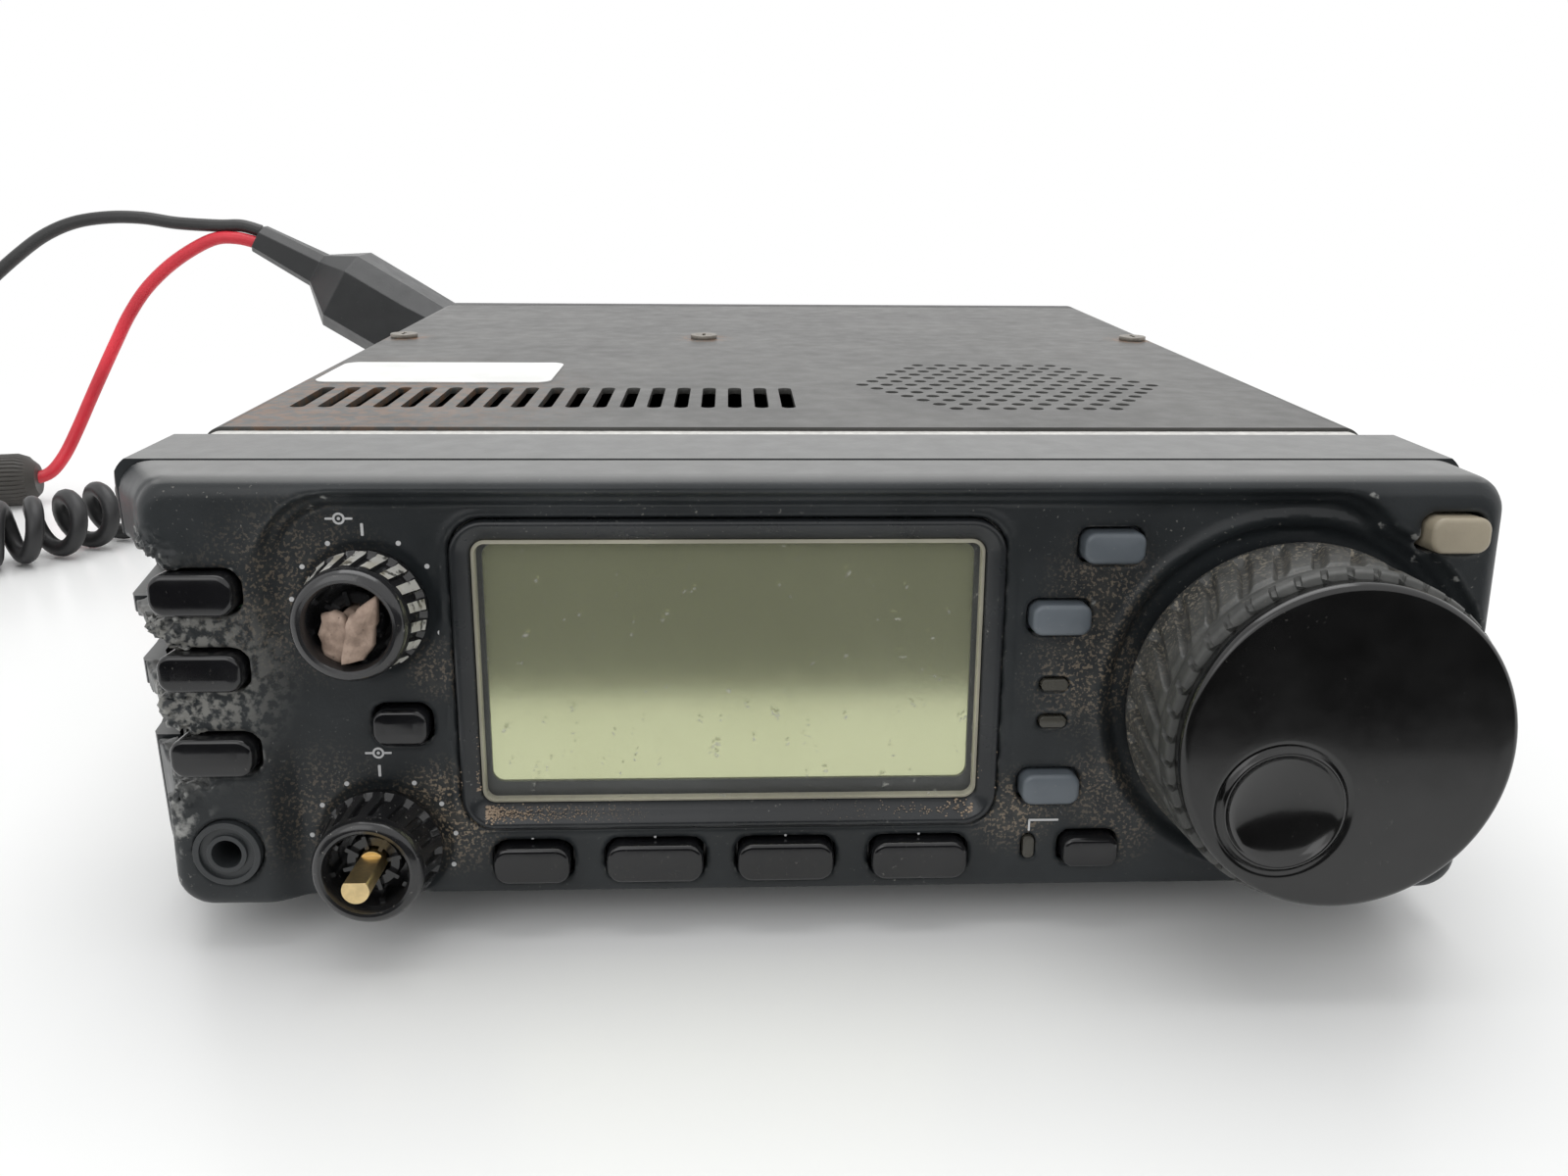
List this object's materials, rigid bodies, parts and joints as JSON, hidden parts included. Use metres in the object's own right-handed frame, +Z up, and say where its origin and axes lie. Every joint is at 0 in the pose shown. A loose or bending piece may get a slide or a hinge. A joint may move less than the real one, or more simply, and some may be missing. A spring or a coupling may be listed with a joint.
{
  "type": "two way radio",
  "caption": "Compact mobile radio transceiver with a detachable control head, large tuning dial, display, push keys, two aerial sockets, fused power lead and coiled microphone cord.",
  "frame": {"origin": "on the surface under the four feet, at the middle of the radio's box from the dial's front to the aerial sockets, leads left out", "axes": "+X to the right seen from the front, +Y to the rear, +Z up"},
  "size_m": [0.4166, 0.2557, 0.0784],
  "materials": {
    "head_plastic": "textured charcoal, dusty",
    "display_bezel": "satin black, edges grimy",
    "clear_window": "clear, slightly hazed",
    "lcd": "unlit olive green",
    "bright_metal": "plain bright steel",
    "board": "green solder mask",
    "black_plastic": "plain black",
    "lens": "smoky, unlit",
    "jack": "black",
    "dial_rubber": "moulded tread, dusty",
    "gloss_black": "polished black, fine scratches",
    "worn_knob": "black, worn to pale grey on the flutes",
    "brass_shaft": "tarnished brass",
    "grey_key": "translucent blue grey",
    "beige_key": "worn beige grey",
    "screw_steel": "dull steel",
    "dock_metal": "bare cast alloy, bright edge",
    "cast_alloy": "plain die cast",
    "cover_paint": "semi-gloss grey, dusty",
    "rear_paint": "black painted casting",
    "cone_paper": "black cone",
    "rotor_plastic": "black",
    "connector_metal": "nickel plated",
    "feet_rubber": "plain",
    "label_film": "blank white film",
    "boot_plastic": "smooth black",
    "red_insulation": "red vinyl",
    "black_insulation": "black vinyl",
    "tinned_metal": "tinned",
    "cord_rubber": "smooth black"
  },
  "bodies": {
    "chassis": {"docking_frame": "dock_metal", "chassis_casting": "cast_alloy", "top_cover": "cover_paint", "bottom_cover": "cover_paint", "heat_sink": "rear_paint", "circuit_boards": "board", "board_parts": "bright_metal", "speaker_frame": "bright_metal", "speaker_cone": "cone_paper", "fan_housing": "black_plastic", "aerial_sockets": "connector_metal", "rear_sockets": "black_plastic", "rubber_feet": "feet_rubber", "cover_screws": "screw_steel", "cover_label": "label_film", "dc_plug": "boot_plastic", "red_lead": "red_insulation", "black_lead": "black_insulation", "fuse_holder": "black_plastic", "lead_coils": "black_insulation", "ring_terminals": "tinned_metal", "mic_plugs": "black_plastic", "mic_tail": "cord_rubber", "mic_curl": "cord_rubber"},
    "control_head": {"front_bezel": "head_plastic", "head_rear_shell": "head_plastic", "display_surround": "display_bezel", "display_window": "clear_window", "lcd_panel": "lcd", "lcd_frame": "bright_metal", "key_board": "board", "key_switches": "black_plastic", "status_lenses": "lens", "phones_jack": "jack", "dial_encoder": "bright_metal", "double_controls": "bright_metal", "head_screws": "screw_steel"},
    "tuning_dial": {"dial_spindle": "bright_metal", "dial_core": "black_plastic", "dial_grip": "dial_rubber", "dial_cap": "gloss_black"},
    "volume_ring": {"af_ring": "worn_knob"},
    "volume_spindle": {"af_spindle": "brass_shaft"},
    "shift_knob_ring": {"shift_ring": "worn_knob"},
    "shift_knob_spindle": {"shift_spindle": "brass_shaft"},
    "fan": {"fan_rotor": "rotor_plastic"},
    "power_key_cap": {"power_key": "gloss_black"},
    "preamp_key_cap": {"preamp_key": "gloss_black"},
    "tuner_key_cap": {"tuner_key": "gloss_black"},
    "rit_key_cap": {"rit_key": "gloss_black"},
    "menu_key_cap": {"menu_key": "gloss_black"},
    "f1_key_cap": {"f1_key": "gloss_black"},
    "f2_key_cap": {"f2_key": "gloss_black"},
    "f3_key_cap": {"f3_key": "gloss_black"},
    "mode_key_cap": {"mode_key": "grey_key"},
    "step_key_cap": {"step_key": "grey_key"},
    "display_key_cap": {"display_key": "grey_key"},
    "lock_key_cap": {"lock_key": "gloss_black"},
    "up_key_cap": {"up_key": "beige_key"},
    "down_key_cap": {"down_key": "beige_key"}
  },
  "joints": [
    {"name": "head_release", "type": "slide", "parent": "chassis", "child": "control_head", "axis": [0, -1, 0], "range_m": [0, 0.03]},
    {"name": "dial_turn", "type": "hinge", "parent": "control_head", "child": "tuning_dial", "pos_m": [0.0595, -0.09591, 0.0304], "axis": [0, -0.9962, 0.0872], "continuous": true},
    {"name": "volume_ring_turn", "type": "hinge", "parent": "control_head", "child": "volume_ring", "pos_m": [-0.0518, -0.09486, 0.04246], "axis": [0, -0.9962, 0.0872], "range_deg": [-135, 135]},
    {"name": "volume_spindle_turn", "type": "hinge", "parent": "control_head", "child": "volume_spindle", "pos_m": [-0.0518, -0.09486, 0.04246], "axis": [0, -0.9962, 0.0872], "range_deg": [-135, 135]},
    {"name": "shift_ring_turn", "type": "hinge", "parent": "control_head", "child": "shift_knob_ring", "pos_m": [-0.0518, -0.09747, 0.01257], "axis": [0, -0.9962, 0.0872], "range_deg": [-135, 135]},
    {"name": "shift_spindle_turn", "type": "hinge", "parent": "control_head", "child": "shift_knob_spindle", "pos_m": [-0.0518, -0.09747, 0.01257], "axis": [0, -0.9962, 0.0872], "range_deg": [-135, 135]},
    {"name": "fan_turn", "type": "hinge", "parent": "chassis", "child": "fan", "pos_m": [0.01, -0.01814, 0.0237], "axis": [0, 0, 1], "continuous": true},
    {"name": "power_key_press", "type": "slide", "parent": "control_head", "child": "power_key_cap", "axis": [0, 0.9962, -0.0872], "range_m": [0, 0.0008], "stiffness_N_per_m": 300, "springref_m": -0.001},
    {"name": "preamp_key_press", "type": "slide", "parent": "control_head", "child": "preamp_key_cap", "axis": [0, 0.9962, -0.0872], "range_m": [0, 0.0008], "stiffness_N_per_m": 300, "springref_m": -0.001},
    {"name": "tuner_key_press", "type": "slide", "parent": "control_head", "child": "tuner_key_cap", "axis": [0, 0.9962, -0.0872], "range_m": [0, 0.0008], "stiffness_N_per_m": 300, "springref_m": -0.001},
    {"name": "rit_key_press", "type": "slide", "parent": "control_head", "child": "rit_key_cap", "axis": [0, 0.9962, -0.0872], "range_m": [0, 0.0008], "stiffness_N_per_m": 300, "springref_m": -0.001},
    {"name": "menu_key_press", "type": "slide", "parent": "control_head", "child": "menu_key_cap", "axis": [0, 0.9962, -0.0872], "range_m": [0, 0.0008], "stiffness_N_per_m": 300, "springref_m": -0.001},
    {"name": "f1_key_press", "type": "slide", "parent": "control_head", "child": "f1_key_cap", "axis": [0, 0.9962, -0.0872], "range_m": [0, 0.0008], "stiffness_N_per_m": 300, "springref_m": -0.001},
    {"name": "f2_key_press", "type": "slide", "parent": "control_head", "child": "f2_key_cap", "axis": [0, 0.9962, -0.0872], "range_m": [0, 0.0008], "stiffness_N_per_m": 300, "springref_m": -0.001},
    {"name": "f3_key_press", "type": "slide", "parent": "control_head", "child": "f3_key_cap", "axis": [0, 0.9962, -0.0872], "range_m": [0, 0.0008], "stiffness_N_per_m": 300, "springref_m": -0.001},
    {"name": "mode_key_press", "type": "slide", "parent": "control_head", "child": "mode_key_cap", "axis": [0, 0.9962, -0.0872], "range_m": [0, 0.0008], "stiffness_N_per_m": 300, "springref_m": -0.001},
    {"name": "step_key_press", "type": "slide", "parent": "control_head", "child": "step_key_cap", "axis": [0, 0.9962, -0.0872], "range_m": [0, 0.0008], "stiffness_N_per_m": 300, "springref_m": -0.001},
    {"name": "display_key_press", "type": "slide", "parent": "control_head", "child": "display_key_cap", "axis": [0, 0.9962, -0.0872], "range_m": [0, 0.0008], "stiffness_N_per_m": 300, "springref_m": -0.001},
    {"name": "lock_key_press", "type": "slide", "parent": "control_head", "child": "lock_key_cap", "axis": [0, 0.9962, -0.0872], "range_m": [0, 0.0008], "stiffness_N_per_m": 300, "springref_m": -0.001},
    {"name": "up_key_press", "type": "slide", "parent": "control_head", "child": "up_key_cap", "axis": [0, 0.9962, -0.0872], "range_m": [0, 0.0008], "stiffness_N_per_m": 300, "springref_m": -0.001},
    {"name": "down_key_press", "type": "slide", "parent": "control_head", "child": "down_key_cap", "axis": [0, 0.9962, -0.0872], "range_m": [0, 0.0008], "stiffness_N_per_m": 300, "springref_m": -0.001}
  ]
}
